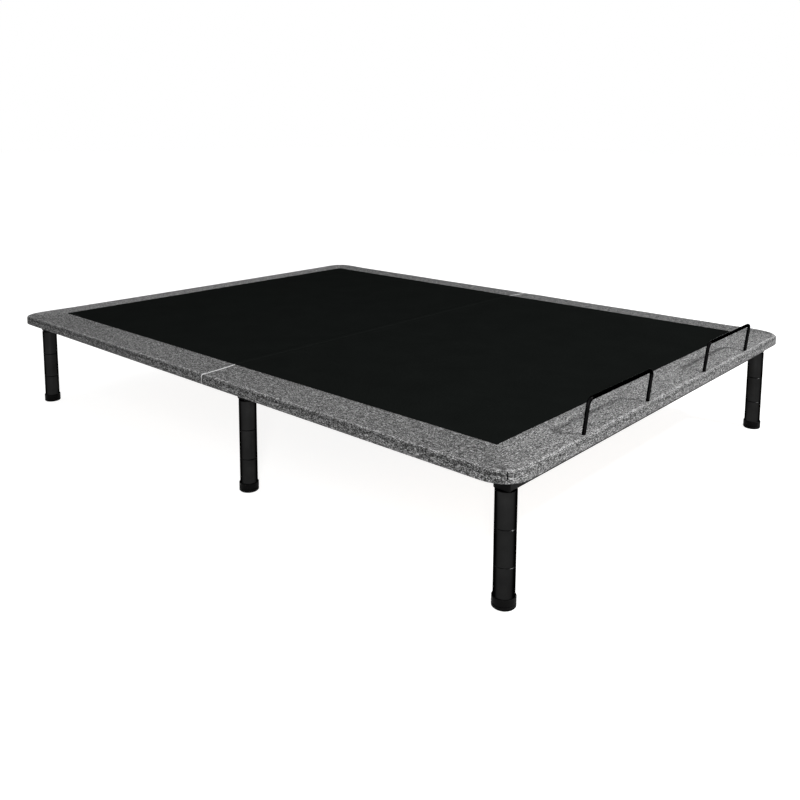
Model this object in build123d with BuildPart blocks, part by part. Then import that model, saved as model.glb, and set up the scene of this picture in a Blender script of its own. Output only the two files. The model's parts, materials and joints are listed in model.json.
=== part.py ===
"""Adjustable bed base with a lifting head section.

A knock-down steel frame on six sectional legs carries two upholstered deck
panels.  The foot panel is bolted down.  The head panel turns on three butt
hinges, pushed up by a screw actuator that hangs between a bracket on the frame
and a bracket on the panel's lift frame.  Two wire bars keep the mattress from
sliding off the foot end.

Millimetres.  X runs from head (-) to foot (+), Y from right (-) to left (+) of a
person lying on the bed, Z up.  The origin is on the floor under the deck's centre.
"""

import math
import os

from build123d import *

os.makedirs("parts", exist_ok=True)

# Deck
deck_length = 2020.0
deck_width = 1520.0
head_panel_length = 1045.0
head_corner = 48.0
foot_corner = 70.0
split_corner = 14.0
lift_angle = 60.0

# Panel build-up: board, foam, cover
board_thickness = 15.0
foam_thickness = 11.0
edge_roll = 10.0
nose_clearance = 0.9
cover_wrap = 3.0
cover_cloth = 1.0
cover_turn_under = 35.0
under_roll = 2.0
border_width = 110.0
field_rise = 4.0
field_round = 3.0
least_corner = 2.0

# Frame tubes
rail_width = 40.0
rail_height = 30.0
side_rail_width = 30.0
motor_rail_width = 60.0
tube_wall = 2.0
tube_bend = 1.5
side_rail_inset = 200.0
rail_overhang = 14.0
end_cap_flange = 3.0
end_cap_depth = 8.0
end_cap_taper = 20.0
fit_clearance = 0.2

# Legs
leg_radius = 23.0
leg_section_height = 79.0
leg_chamfer = 1.2
leg_side_inset = 68.0
head_leg_inset = 54.0
foot_leg_inset = 56.0
mid_leg_setback = 106.0
leg_stud_radius = 5.0
leg_stud_length = 14.0
foot_radius = 25.5
foot_base = 10.0
foot_cup = 14.0
foot_tread = 2.0
foot_groove = 1.5

# Corner plates, bolts and deck pads
plate_thickness = 3.0
plate_length = 90.0
plate_bolt_distance = 66.0
plate_gap = 4.0
plate_bolt_offset = 11.0
bolt_radius = 4.0
bolt_head_radius = 7.0
bolt_head_height = 5.0
bolt_overrun = 6.0
bolt_bite = 10.0
bumper_radius = 14.0
bumper_height = 3.0
bumper_chamfer = 0.8
bumper_bore = 4.6
bumper_pitch = 300.0
cross_bumper_pitch = 560.0
deck_bolt_margin = 100.0
headboard_hole_radius = 4.5
headboard_hole_pitch = 60.0
headboard_hole_y = 450.0

# Panel hinges
hinge_length = 90.0
hinge_pitch = 520.0
hinge_pin_radius = 2.5
knuckle_radius = 4.2
knuckle_gap = 0.5
middle_knuckle = 38.0
leaf_width = 34.0
leaf_thickness = 2.5
leaf_hole_radius = 2.6
leaf_hole_pitch = 32.0
running_clearance = 0.05
notch_clearance = 0.5

# Lift frame under the head panel
lift_tube = 25.0
lift_tube_spacing = 600.0
lift_tube_length = 640.0
lift_tube_setback = 40.0
lift_cross_width = 60.0
lift_bolt_pitch = 250.0

# Actuator linkage: both pins lie on one circle about the hinge line
linkage_radius = 250.0
linkage_angle = 45.0
link_pin_radius = 6.0
link_pin_head = 9.0
link_pin_head_height = 4.0
link_pin_tail = 6.0
bracket_thickness = 5.0
bracket_toe = 20.0
bracket_heel = 60.0
bracket_bend = 4.0
bracket_bolt_pitch = 36.0
eye_width = 24.0
eye_radius = 15.0
eye_side_gap = 1.0

# Actuator
gearbox_start = 70.0
gearbox_length = 70.0
gearbox_height = 70.0
gearbox_width = 64.0
gearbox_round = 8.0
gearbox_neck = 26.0
tube_seat_depth = 12.0
actuator_tube_radius = 18.0
actuator_tube_wall = 2.5
guide_length = 18.0
slide_clearance = 0.3
rod_radius = 12.5
rod_wall = 4.0
rod_neck = 30.0
spigot_length = 15.0
nut_length = 22.0
nut_park = 3.0
nut_stop = 1.0
screw_radius = 7.0
motor_radius = 29.0
motor_length = 92.0
motor_flange_radius = 32.0
motor_flange = 5.0
motor_cap_radius = 25.0
motor_cap = 14.0
motor_round = 4.0
motor_drop = 6.0

# Control box under the foot panel
control_length = 110.0
control_width = 190.0
control_height = 36.0
control_round = 8.0
control_seam = 1.0
control_seam_drop = 10.0
control_setback = 360.0
control_ear_length = 18.0
control_ear_width = 30.0
control_ear_thickness = 4.0
control_screw_radius = 2.5
control_screw_head = 4.5
control_screw_taper = 20.0
inlet_width = 13.0
inlet_height = 8.0
inlet_depth = 12.0
inlet_pin_radius = 1.2
inlet_pin_pitch = 5.0

# Mattress retainer bars
retainer_width = 300.0
retainer_height = 78.0
retainer_radius = 4.5
retainer_bend = 15.0
retainer_lean = 6.5
retainer_spacing = 636.0
retainer_inset = 14.0
socket_wall = 2.0
socket_flange_radius = 12.0
socket_flange = 2.0

# Levels and places that follow from the sizes above
leg_top = foot_base + 3 * leg_section_height
rail_top = leg_top + rail_height
rail_middle = leg_top + rail_height / 2
board_bottom = rail_top + bumper_height
board_top = board_bottom + board_thickness
deck_top = board_top + foam_thickness

head_end = -deck_length / 2
foot_end = deck_length / 2
hinge_x = head_end + head_panel_length
hinge_z = deck_top - edge_roll
half_lift = math.radians(lift_angle / 2)
split_gap = 2 * edge_roll * (1 / math.cos(half_lift) - 1) + nose_clearance

leg_y = deck_width / 2 - leg_side_inset
head_leg_x = head_end + head_leg_inset
mid_leg_x = hinge_x + mid_leg_setback
foot_leg_x = foot_end - foot_leg_inset
cross_rail_length = 2 * (leg_y + rail_overhang)
side_rail_y = deck_width / 2 - side_rail_inset

pin_angle = math.radians(linkage_angle)
pin_reach = linkage_radius * math.sin(pin_angle)
pin_z = hinge_z - linkage_radius * math.cos(pin_angle)
motor_pin_x = hinge_x + pin_reach
lift_pin_x = hinge_x - pin_reach
closed_length = 2 * linkage_radius * math.sin(pin_angle)
open_length = 2 * linkage_radius * math.sin(pin_angle + half_lift)
stroke = open_length - closed_length
bracket_gap = eye_width + 2 * eye_side_gap
bracket_width = bracket_gap + 2 * bracket_thickness
motor_rail_x = motor_pin_x + (bracket_heel - bracket_toe) / 2
lift_cross_x = lift_pin_x - (bracket_heel - bracket_toe) / 2
lift_tube_z = board_bottom - lift_tube / 2
lift_tube_x = hinge_x - lift_tube_setback - lift_tube_length / 2
lift_tube_y = lift_tube_spacing / 2

hinge_places = [-hinge_pitch, 0.0, hinge_pitch]
cut_margin = 1.0


def save(piece, name):
    """Name a finished piece and write it."""
    piece.part.label = name
    export_step(piece.part, f"parts/{name}.step")


def drill(points, radius, bottom, height):
    """Cut upright round holes into the part being built."""
    with BuildSketch(Plane.XY.offset(bottom)) as holes:
        with Locations(*points):
            Circle(radius)
    extrude(holes.sketch, amount=height, mode=Mode.SUBTRACT)


def box_tube(plane, width, height, length):
    """Add a rectangular steel tube, centred on its plane."""
    with BuildSketch(plane) as section:
        RectangleRounded(width, height, tube_wall + tube_bend)
        RectangleRounded(width - 2 * tube_wall, height - 2 * tube_wall, tube_bend, mode=Mode.SUBTRACT)
    extrude(section.sketch, amount=length / 2, both=True)


def along_x(x, y, z):
    """Section plane of a tube that runs along X."""
    return Plane(origin=(x, y, z), x_dir=(0, 1, 0), z_dir=(1, 0, 0))


def along_y(x, y, z):
    """Section plane of a tube that runs along Y."""
    return Plane(origin=(x, y, z), x_dir=(1, 0, 0), z_dir=(0, 1, 0))


# Corner plates: where each sits, and which way its side rail runs
plate_corners = []
for side in (-1, 1):
    for rail_x, along in (
        (head_leg_x, 1),
        (mid_leg_x, -1),
        (mid_leg_x, 1),
        (motor_rail_x, 1),
        (foot_leg_x, -1),
    ):
        plate_corners.append((rail_x, side * side_rail_y, along, -side))

side_bolts = [(x + along * plate_bolt_distance, y) for x, y, along, inward in plate_corners]
cross_bolts = [
    (x + along * plate_bolt_offset, y + inward * plate_bolt_distance)
    for x, y, along, inward in plate_corners
]


def points_on(points, x_low, x_high, y_low, y_high):
    """The points that lie inside a plan rectangle."""
    return [(x, y) for x, y in points if x_low < x < x_high and y_low < y < y_high]


# Cross rails, each carrying two legs
cross_rail_places = {"head": head_leg_x, "mid": mid_leg_x, "foot": foot_leg_x}
for name, rail_x in cross_rail_places.items():
    with BuildPart() as cross_rail:
        box_tube(along_y(rail_x, 0, rail_middle), rail_width, rail_height, cross_rail_length)
        leg_points = [(rail_x, -leg_y), (rail_x, leg_y)]
        lower_wall = tube_wall + 2 * cut_margin
        drill(leg_points, leg_stud_radius + fit_clearance, leg_top - cut_margin, lower_wall)
        bolts_here = points_on(
            cross_bolts, rail_x - rail_width / 2, rail_x + rail_width / 2, -leg_y, leg_y
        )
        drill(bolts_here, bolt_radius + fit_clearance, leg_top - cut_margin, lower_wall)
        if name == "head":
            for side in (-1, 1):
                hole_plane = along_x(rail_x, side * headboard_hole_y, rail_middle)
                with BuildSketch(hole_plane):
                    with GridLocations(headboard_hole_pitch, 0, 2, 1):
                        Circle(headboard_hole_radius)
                extrude(amount=rail_width, both=True, mode=Mode.SUBTRACT)
    save(cross_rail, f"{name}_cross_rail")

# Side rails between the cross rails
deck_bolt_points = []
for side_name, side in (("right", -1), ("left", 1)):
    for end_name, x_low, x_high in (
        ("head", head_leg_x + rail_width / 2, mid_leg_x - rail_width / 2),
        ("foot", mid_leg_x + rail_width / 2, foot_leg_x - rail_width / 2),
    ):
        middle = (x_low + x_high) / 2
        rail_y = side * side_rail_y
        with BuildPart() as side_rail:
            box_tube(along_x(middle, rail_y, rail_middle), side_rail_width, rail_height, x_high - x_low)
            drill(
                points_on(side_bolts, x_low, x_high, rail_y - 1, rail_y + 1),
                bolt_radius + fit_clearance,
                leg_top - cut_margin,
                tube_wall + 2 * cut_margin,
            )
            if end_name == "foot":
                free_low = motor_rail_x + plate_length + deck_bolt_margin
                free_high = foot_leg_x - plate_length - deck_bolt_margin
                through = [(free_low, rail_y), (free_high, rail_y)]
                deck_bolt_points += through
                drill(
                    through,
                    bolt_radius + fit_clearance,
                    leg_top - cut_margin,
                    rail_height + 2 * cut_margin,
                )
        save(side_rail, f"{side_name}_{end_name}_side_rail")

# Motor rail: the wide tube that the actuator pushes against
motor_bracket_bolts = [
    (motor_rail_x - bracket_bolt_pitch / 2, 0),
    (motor_rail_x + bracket_bolt_pitch / 2, 0),
]
with BuildPart() as motor_rail:
    box_tube(
        along_y(motor_rail_x, 0, rail_middle),
        motor_rail_width,
        rail_height,
        2 * side_rail_y - side_rail_width,
    )
    plate_bolts_here = points_on(
        cross_bolts,
        motor_rail_x - motor_rail_width / 2,
        motor_rail_x + motor_rail_width / 2,
        -side_rail_y,
        side_rail_y,
    )
    drill(
        plate_bolts_here + motor_bracket_bolts,
        bolt_radius + fit_clearance,
        leg_top - cut_margin,
        tube_wall + 2 * cut_margin,
    )
save(motor_rail, "motor_rail")

# Plastic plugs in the open ends of the cross rails
with BuildPart() as rail_end_caps:
    for rail_x in cross_rail_places.values():
        for side in (-1, 1):
            end_plane = Plane(
                origin=(rail_x, side * cross_rail_length / 2, rail_middle),
                x_dir=(1, 0, 0),
                z_dir=(0, side, 0),
            )
            with BuildSketch(end_plane):
                RectangleRounded(rail_width, rail_height, tube_wall + tube_bend)
            extrude(amount=end_cap_flange, taper=end_cap_taper)
            with BuildSketch(end_plane):
                RectangleRounded(
                    rail_width - 2 * (tube_wall + fit_clearance),
                    rail_height - 2 * (tube_wall + fit_clearance),
                    tube_bend,
                )
            extrude(amount=-end_cap_depth)
save(rail_end_caps, "rail_end_caps")

# Corner plates under the rail joints
with BuildPart() as joint_plates:
    for x, y, along, inward in plate_corners:
        half_side = side_rail_width / 2
        outline = [
            (plate_gap / 2, -half_side),
            (plate_length, -half_side),
            (plate_length, half_side),
            (rail_width / 2, plate_length),
            (plate_gap / 2, plate_length),
        ]
        with BuildSketch(Plane.XY.offset(leg_top - plate_thickness)):
            with BuildLine():
                Polyline(*[(x + along * u, y + inward * v) for u, v in outline], close=True)
            make_face()
        extrude(amount=plate_thickness)
    drill(
        side_bolts + cross_bolts,
        bolt_radius + fit_clearance,
        leg_top - plate_thickness - cut_margin,
        plate_thickness + 2 * cut_margin,
    )
save(joint_plates, "joint_plates")


def hex_bolts(points, seat, length):
    """Add bolts that point up, with their heads under the seat level."""
    with BuildSketch(Plane.XY.offset(seat)) as heads:
        with Locations(*points):
            RegularPolygon(bolt_head_radius, 6)
    extrude(heads.sketch, amount=-bolt_head_height)
    with BuildSketch(Plane.XY.offset(seat)) as shanks:
        with Locations(*points):
            Circle(bolt_radius)
    extrude(shanks.sketch, amount=length)


# Frame bolts: corner plates, motor bracket, and the foot panel
with BuildPart() as frame_bolts:
    hex_bolts(
        side_bolts + cross_bolts,
        leg_top - plate_thickness,
        plate_thickness + tube_wall + bolt_overrun,
    )
    hex_bolts(
        motor_bracket_bolts,
        leg_top - bracket_thickness,
        bracket_thickness + tube_wall + bolt_overrun,
    )
    hex_bolts(deck_bolt_points, leg_top, rail_height + bumper_height + bolt_bite)
save(frame_bolts, "frame_bolts")

# Rubber rings between the rails and the boards
head_rail_middle = (head_leg_x + mid_leg_x) / 2
head_row = [head_rail_middle - bumper_pitch, head_rail_middle]
bumper_points = [(x, side * side_rail_y) for x in head_row for side in (-1, 1)]
bumper_points += [
    (x, side * cross_bumper_pitch / 2)
    for x in cross_rail_places.values()
    for side in (-1, 1)
]
with BuildPart() as deck_bumpers:
    with BuildSketch(Plane.XY.offset(rail_top)):
        with Locations(*bumper_points, *deck_bolt_points):
            Circle(bumper_radius)
            Circle(bumper_bore, mode=Mode.SUBTRACT)
    extrude(amount=bumper_height)
    rims = deck_bumpers.faces().group_by(Axis.Z)[-1].edges().filter_by(
        lambda edge: edge.radius > (bumper_radius + bumper_bore) / 2
    )
    chamfer(rims, bumper_chamfer)
save(deck_bumpers, "deck_bumpers")

# Sectional legs: three screwed tubes and a foot each
leg_places = {
    "right_head": (head_leg_x, -leg_y),
    "left_head": (head_leg_x, leg_y),
    "right_mid": (mid_leg_x, -leg_y),
    "left_mid": (mid_leg_x, leg_y),
    "right_foot": (foot_leg_x, -leg_y),
    "left_foot": (foot_leg_x, leg_y),
}
for place, (leg_x, leg_side) in leg_places.items():
    for level, segment_name in enumerate(("lower", "middle", "upper")):
        bottom = foot_base + level * leg_section_height
        with BuildPart() as segment:
            with BuildSketch(Plane.XY.offset(bottom)):
                with Locations((leg_x, leg_side)):
                    Circle(leg_radius)
            extrude(amount=leg_section_height)
            chamfer(segment.edges().filter_by(GeomType.CIRCLE), leg_chamfer)
            with BuildSketch(Plane.XY.offset(bottom + leg_section_height)):
                with Locations((leg_x, leg_side)):
                    Circle(leg_stud_radius)
            extrude(amount=leg_stud_length)
            drill(
                [(leg_x, leg_side)],
                leg_stud_radius + fit_clearance,
                bottom,
                leg_stud_length + cut_margin,
            )
        save(segment, f"{place}_leg_{segment_name}")

# Moulded feet: a cup round the leg, a grooved rim and a tread
with BuildPart() as leg_feet:
    for leg_x, leg_side in leg_places.values():
        cup_radius = leg_radius + fit_clearance
        groove_level = foot_base - foot_groove
        with BuildSketch(Plane(origin=(leg_x, leg_side, 0), x_dir=(1, 0, 0), z_dir=(0, -1, 0))):
            with BuildLine():
                Polyline(
                    (0, 0),
                    (foot_radius - foot_tread, 0),
                    (foot_radius, foot_tread),
                    (foot_radius, groove_level - foot_groove),
                    (foot_radius - foot_groove, groove_level),
                    (foot_radius, groove_level + foot_groove),
                    (foot_radius, foot_base + foot_cup - leg_chamfer),
                    (foot_radius - leg_chamfer, foot_base + foot_cup),
                    (cup_radius, foot_base + foot_cup),
                    (cup_radius, foot_base),
                    (leg_stud_radius, foot_base),
                    (leg_stud_radius, foot_base + leg_stud_length),
                    (0, foot_base + leg_stud_length),
                    close=True,
                )
            make_face()
        revolve(axis=Axis((leg_x, leg_side, 0), (0, 0, 1)))
save(leg_feet, "leg_feet")


def panel_face(level, x_low, x_high, low_corner, high_corner, inset=0.0):
    """Plan outline of a deck panel, drawn in by an inset."""
    with BuildSketch(Plane.XY.offset(level)) as outline:
        with Locations(((x_low + x_high) / 2, 0)):
            Rectangle(x_high - x_low - 2 * inset, deck_width - 2 * inset)
        ends = outline.vertices().group_by(Axis.X)
        fillet(ends[0], max(low_corner - inset, least_corner))
        fillet(outline.vertices().group_by(Axis.X)[-1], max(high_corner - inset, least_corner))
    return outline.sketch


def field_rectangle(level, x_low, x_high, half_width):
    """Plan outline of the dark field on a panel."""
    with BuildSketch(Plane.XY.offset(level)) as outline:
        with Locations(((x_low + x_high) / 2, 0)):
            Rectangle(x_high - x_low, 2 * half_width)
    return outline.sketch


# Retainer bar legs: where each one enters the deck
retainer_x = foot_end - retainer_inset
lean = math.radians(retainer_lean)
retainer_centres = {"right": -retainer_spacing / 2, "left": retainer_spacing / 2}
retainer_legs = [
    centre + side * retainer_width / 2
    for centre in retainer_centres.values()
    for side in (-1, 1)
]
socket_radius = retainer_radius + fit_clearance + socket_wall
panel_depth = deck_top - board_bottom + cover_cloth
leg_depth = panel_depth / math.cos(lean)


def retainer_leg_plane(y):
    """Plane across a retainer bar's leg, at the deck's top."""
    return Plane(
        origin=(retainer_x, y, deck_top), x_dir=(0, 1, 0), z_dir=(math.sin(lean), 0, math.cos(lean))
    )


def leaning_rods(radius, low, high, mode):
    """Add or cut rods along the retainer bars' legs, from low to high along them."""
    for y in retainer_legs:
        with BuildSketch(retainer_leg_plane(y).offset(low)) as section:
            Circle(radius)
        extrude(section.sketch, amount=high - low, mode=mode)


# Deck panels: board, padded cover and dark field
field_end = split_gap / 2 + edge_roll
field_half = deck_width / 2 - border_width
board_edge = split_gap / 2 + cover_wrap
notch_half = knuckle_radius + notch_clearance
leaf_reach = board_edge + leaf_width

panels = {
    "head": (head_end, hinge_x - split_gap / 2, head_corner, split_corner, -1),
    "foot": (hinge_x + split_gap / 2, foot_end, split_corner, foot_corner, 1),
}
for name, (x_low, x_high, low_corner, high_corner, outward) in panels.items():
    corners = (x_low, x_high, low_corner, high_corner)
    with BuildPart() as pad:
        extrude(panel_face(board_bottom - cover_cloth, *corners), amount=panel_depth)
        fillet(pad.faces().sort_by(Axis.Z)[-1].edges(), edge_roll)
        fillet(pad.faces().sort_by(Axis.Z)[0].edges(), under_roll)
        extrude(
            panel_face(board_bottom, *corners, cover_wrap),
            amount=board_thickness,
            mode=Mode.SUBTRACT,
        )
        extrude(
            panel_face(board_bottom - cover_cloth, *corners, cover_wrap + cover_turn_under),
            amount=cover_cloth,
            mode=Mode.SUBTRACT,
        )
        for hinge_y in hinge_places:
            with BuildSketch(Plane.XY.offset(hinge_z - notch_half)):
                with Locations((hinge_x + outward * board_edge / 2, hinge_y)):
                    Rectangle(board_edge, hinge_length + 2 * notch_clearance)
            extrude(amount=2 * notch_half, mode=Mode.SUBTRACT)
        if name == "foot":
            leaning_rods(retainer_radius + slide_clearance, -leg_depth, edge_roll, Mode.SUBTRACT)
            leaning_rods(
                socket_radius + fit_clearance,
                -leg_depth - socket_flange,
                -foam_thickness - board_thickness / 2,
                Mode.SUBTRACT,
            )
    save(pad, f"{name}_pad")

    border_end = head_end + border_width if name == "head" else foot_end - border_width
    with BuildPart() as field:
        field_ends = sorted((border_end, hinge_x + outward * field_end))
        extrude(field_rectangle(deck_top, *field_ends, field_half), amount=field_rise)
        fillet(field.faces().sort_by(Axis.Z)[-1].edges(), field_round)
    save(field, f"{name}_field")

    with BuildPart() as board:
        extrude(panel_face(board_bottom, *corners, cover_wrap), amount=board_thickness)
        for hinge_y in hinge_places:
            with BuildSketch(Plane.XY.offset(board_top - leaf_thickness)):
                with Locations((hinge_x + outward * (board_edge + leaf_width / 2), hinge_y)):
                    Rectangle(leaf_width + 2 * fit_clearance, hinge_length + 2 * fit_clearance)
            extrude(amount=leaf_thickness, mode=Mode.SUBTRACT)
        if name == "foot":
            drill(deck_bolt_points, bolt_radius + fit_clearance, board_bottom, bolt_bite + cut_margin)
            leaning_rods(
                socket_radius + fit_clearance,
                -leg_depth - socket_flange,
                edge_roll,
                Mode.SUBTRACT,
            )
        else:
            lift_bolt_points = [
                (lift_tube_x + side_x * lift_bolt_pitch, side_y * lift_tube_y)
                for side_x in (-1, 1)
                for side_y in (-1, 1)
            ]
            drill(lift_bolt_points, bolt_radius + fit_clearance, board_bottom, bolt_bite + cut_margin)
    save(board, f"{name}_board")

# Butt hinges let into the boards' top faces
end_knuckle = (hinge_length - middle_knuckle) / 2 - knuckle_gap
end_knuckle_y = (hinge_length - end_knuckle) / 2
leaf_knuckles = {
    "head": ([0.0], middle_knuckle, -1),
    "foot": ([-end_knuckle_y, end_knuckle_y], end_knuckle, 1),
}
for name, (knuckles, knuckle_length, outward) in leaf_knuckles.items():
    with BuildPart() as leaves:
        for hinge_y in hinge_places:
            with BuildSketch(Plane.XY.offset(board_top - leaf_thickness)):
                with Locations((hinge_x + outward * (board_edge + leaf_width / 2), hinge_y)):
                    Rectangle(leaf_width, hinge_length)
                for knuckle_y in knuckles:
                    with Locations((hinge_x + outward * board_edge / 2, hinge_y + knuckle_y)):
                        Rectangle(board_edge, knuckle_length)
                with Locations((hinge_x + outward * (board_edge + leaf_width / 2), hinge_y)):
                    with GridLocations(0, leaf_hole_pitch, 1, 3):
                        Circle(leaf_hole_radius, mode=Mode.SUBTRACT)
            extrude(amount=leaf_thickness)
            for knuckle_y in knuckles:
                with BuildSketch(along_y(hinge_x, hinge_y + knuckle_y, hinge_z)):
                    Circle(knuckle_radius)
                extrude(amount=knuckle_length / 2, both=True)
            with BuildSketch(along_y(hinge_x, hinge_y, hinge_z)):
                Circle(hinge_pin_radius + running_clearance)
            extrude(amount=hinge_length, both=True, mode=Mode.SUBTRACT)
    save(leaves, f"{name}_hinge_leaves")

with BuildPart() as hinge_pins:
    for hinge_y in hinge_places:
        with BuildSketch(along_y(hinge_x, hinge_y, hinge_z)):
            Circle(hinge_pin_radius)
        extrude(amount=hinge_length / 2, both=True)
save(hinge_pins, "hinge_pins")

# Lift frame: two long tubes and a wide cross tube under the head board
lift_bottom = board_bottom - lift_tube
for side_name, side in (("right", -1), ("left", 1)):
    with BuildPart() as lift_rail:
        box_tube(
            along_x(lift_tube_x, side * lift_tube_y, lift_tube_z), lift_tube, lift_tube, lift_tube_length
        )
        drill(
            points_on(lift_bolt_points, head_end, foot_end, *sorted((0, side * deck_width))),
            bolt_radius + fit_clearance,
            lift_bottom - cut_margin,
            lift_tube + 2 * cut_margin,
        )
    save(lift_rail, f"{side_name}_lift_tube")

lift_bracket_bolts = [
    (lift_cross_x - bracket_bolt_pitch / 2, 0),
    (lift_cross_x + bracket_bolt_pitch / 2, 0),
]
with BuildPart() as lift_cross_tube:
    box_tube(
        along_y(lift_cross_x, 0, lift_tube_z),
        lift_cross_width,
        lift_tube,
        lift_tube_spacing - lift_tube,
    )
    drill(
        lift_bracket_bolts,
        bolt_radius + fit_clearance,
        lift_bottom - cut_margin,
        tube_wall + 2 * cut_margin,
    )
save(lift_cross_tube, "lift_cross_tube")

with BuildPart() as lift_bolts:
    hex_bolts(lift_bolt_points, lift_bottom, lift_tube + bolt_bite)
    hex_bolts(
        lift_bracket_bolts,
        lift_bottom - bracket_thickness,
        bracket_thickness + tube_wall + bolt_overrun,
    )
save(lift_bolts, "lift_bolts")


def clevis_bracket(pin_x, top, heel_way, bolts):
    """Bent steel bracket: a top plate and two cheeks that hold a link pin."""
    with BuildPart() as bracket:
        with BuildSketch(Plane.XZ):
            with BuildLine():
                Polyline(
                    (pin_x - heel_way * bracket_toe, pin_z),
                    (pin_x - heel_way * bracket_toe, top),
                    (pin_x + heel_way * bracket_heel, top),
                    (pin_x + heel_way * bracket_heel, top - bracket_toe),
                    (pin_x + heel_way * bracket_toe, pin_z),
                    close=True,
                )
            make_face()
            with Locations((pin_x, pin_z)):
                Circle(bracket_toe)
        extrude(amount=bracket_width / 2, both=True)
        fillet(bracket.faces().sort_by(Axis.Z)[-1].edges().filter_by(Axis.X), bracket_bend)
        with BuildSketch(Plane.XY.offset(top - bracket_thickness)):
            with Locations((pin_x, 0)):
                Rectangle(4 * bracket_heel, bracket_gap)
        extrude(amount=-2 * linkage_radius, mode=Mode.SUBTRACT)
        with BuildSketch(along_y(pin_x, 0, pin_z)):
            Circle(link_pin_radius + running_clearance)
        extrude(amount=bracket_width, both=True, mode=Mode.SUBTRACT)
        drill(
            bolts,
            bolt_radius + fit_clearance,
            top - bracket_thickness - cut_margin,
            bracket_thickness + 2 * cut_margin,
        )
    return bracket


def link_pin(pin_x):
    """Headed pin through a clevis bracket and an eye."""
    with BuildPart() as pin:
        end_plane = Plane(origin=(pin_x, -bracket_width / 2, pin_z), x_dir=(1, 0, 0), z_dir=(0, 1, 0))
        with BuildSketch(end_plane):
            Circle(link_pin_radius)
        extrude(amount=bracket_width + link_pin_tail)
        chamfer(pin.edges().sort_by(Axis.Y)[-1], link_pin_radius / 6)
        with BuildSketch(end_plane):
            Circle(link_pin_head)
        extrude(amount=-link_pin_head_height)
    return pin


save(clevis_bracket(motor_pin_x, leg_top, 1, motor_bracket_bolts), "motor_bracket")
save(clevis_bracket(lift_pin_x, lift_bottom, -1, lift_bracket_bolts), "lift_bracket")
save(link_pin(motor_pin_x), "motor_pin")
save(link_pin(lift_pin_x), "lift_pin")

# Actuator: distances run from the motor pin towards the lift pin
actuator_plane = Plane(origin=(motor_pin_x, 0, pin_z), x_dir=(-1, 0, 0), z_dir=(0, 1, 0))
actuator_axis = Axis((motor_pin_x, 0, pin_z), (-1, 0, 0))
gearbox_end = gearbox_start + gearbox_length
gearbox_middle = gearbox_start + gearbox_length / 2
nut_start = gearbox_end + nut_park
rod_start = nut_start + nut_length
tube_mouth = rod_start + stroke + nut_stop + guide_length
tube_bore = actuator_tube_radius - actuator_tube_wall
rod_end = closed_length - rod_neck
rod_bore = rod_radius - rod_wall
screw_end = tube_mouth - guide_length


def across_actuator(distance):
    """Plane square to the actuator, at a distance from the motor pin."""
    return Plane(origin=(motor_pin_x - distance, 0, pin_z), x_dir=(0, 1, 0), z_dir=(-1, 0, 0))


with BuildPart() as actuator_gearbox:
    with BuildSketch(across_actuator(gearbox_start)):
        RectangleRounded(gearbox_width, gearbox_height, gearbox_round)
    extrude(amount=gearbox_length)
    gearbox_ends = actuator_gearbox.faces().filter_by(Axis.X)
    fillet(gearbox_ends.edges(), gearbox_round / 2)
    with BuildSketch(actuator_plane):
        with Locations((gearbox_start / 2, 0)):
            Rectangle(gearbox_start, gearbox_neck)
        Circle(eye_radius)
    extrude(amount=eye_width / 2, both=True)
    with BuildSketch(actuator_plane):
        Circle(link_pin_radius + running_clearance)
    extrude(amount=eye_width, both=True, mode=Mode.SUBTRACT)
    with BuildSketch(across_actuator(gearbox_end)):
        Circle(actuator_tube_radius + fit_clearance)
    extrude(amount=-tube_seat_depth, mode=Mode.SUBTRACT)
save(actuator_gearbox, "actuator_gearbox")

with BuildPart() as actuator_tube:
    with BuildSketch(across_actuator(gearbox_end - tube_seat_depth)):
        Circle(actuator_tube_radius)
        Circle(tube_bore, mode=Mode.SUBTRACT)
    extrude(amount=tube_mouth - gearbox_end + tube_seat_depth)
    with BuildSketch(across_actuator(tube_mouth)):
        Circle(actuator_tube_radius)
        Circle(rod_radius + slide_clearance, mode=Mode.SUBTRACT)
    extrude(amount=-guide_length)
    mouth_edges = actuator_tube.edges().filter_by(GeomType.CIRCLE).sort_by(Axis.X)[0:2]
    mouth_rim = mouth_edges.sort_by(SortBy.RADIUS)[-1]
    chamfer(mouth_rim, actuator_tube_wall / 2)
save(actuator_tube, "actuator_tube")

with BuildPart() as lead_screw:
    with BuildSketch(across_actuator(gearbox_end - tube_seat_depth)):
        Circle(screw_radius)
    extrude(amount=screw_end - gearbox_end + tube_seat_depth)
save(lead_screw, "lead_screw")

motor_x = motor_pin_x - gearbox_middle
motor_z = pin_z - motor_drop
with BuildPart() as actuator_motor:
    motor_plane = Plane(
        origin=(motor_x, gearbox_width / 2, motor_z), x_dir=(1, 0, 0), z_dir=(0, 1, 0)
    )
    with BuildSketch(motor_plane):
        Circle(motor_flange_radius)
    extrude(amount=motor_flange)
    with BuildSketch(motor_plane.offset(motor_flange)):
        Circle(motor_radius)
    extrude(amount=motor_length)
    fillet(actuator_motor.edges().sort_by(Axis.Y)[-1], motor_round)
    with BuildSketch(motor_plane.offset(motor_flange + motor_length)):
        Circle(motor_cap_radius)
    extrude(amount=motor_cap)
    fillet(actuator_motor.edges().sort_by(Axis.Y)[-1], motor_round)
save(actuator_motor, "actuator_motor")

with BuildPart() as push_rod:
    with BuildSketch(across_actuator(rod_start)):
        Circle(rod_radius)
        Circle(rod_bore, mode=Mode.SUBTRACT)
    extrude(amount=rod_end - rod_start)
save(push_rod, "push_rod")

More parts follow.
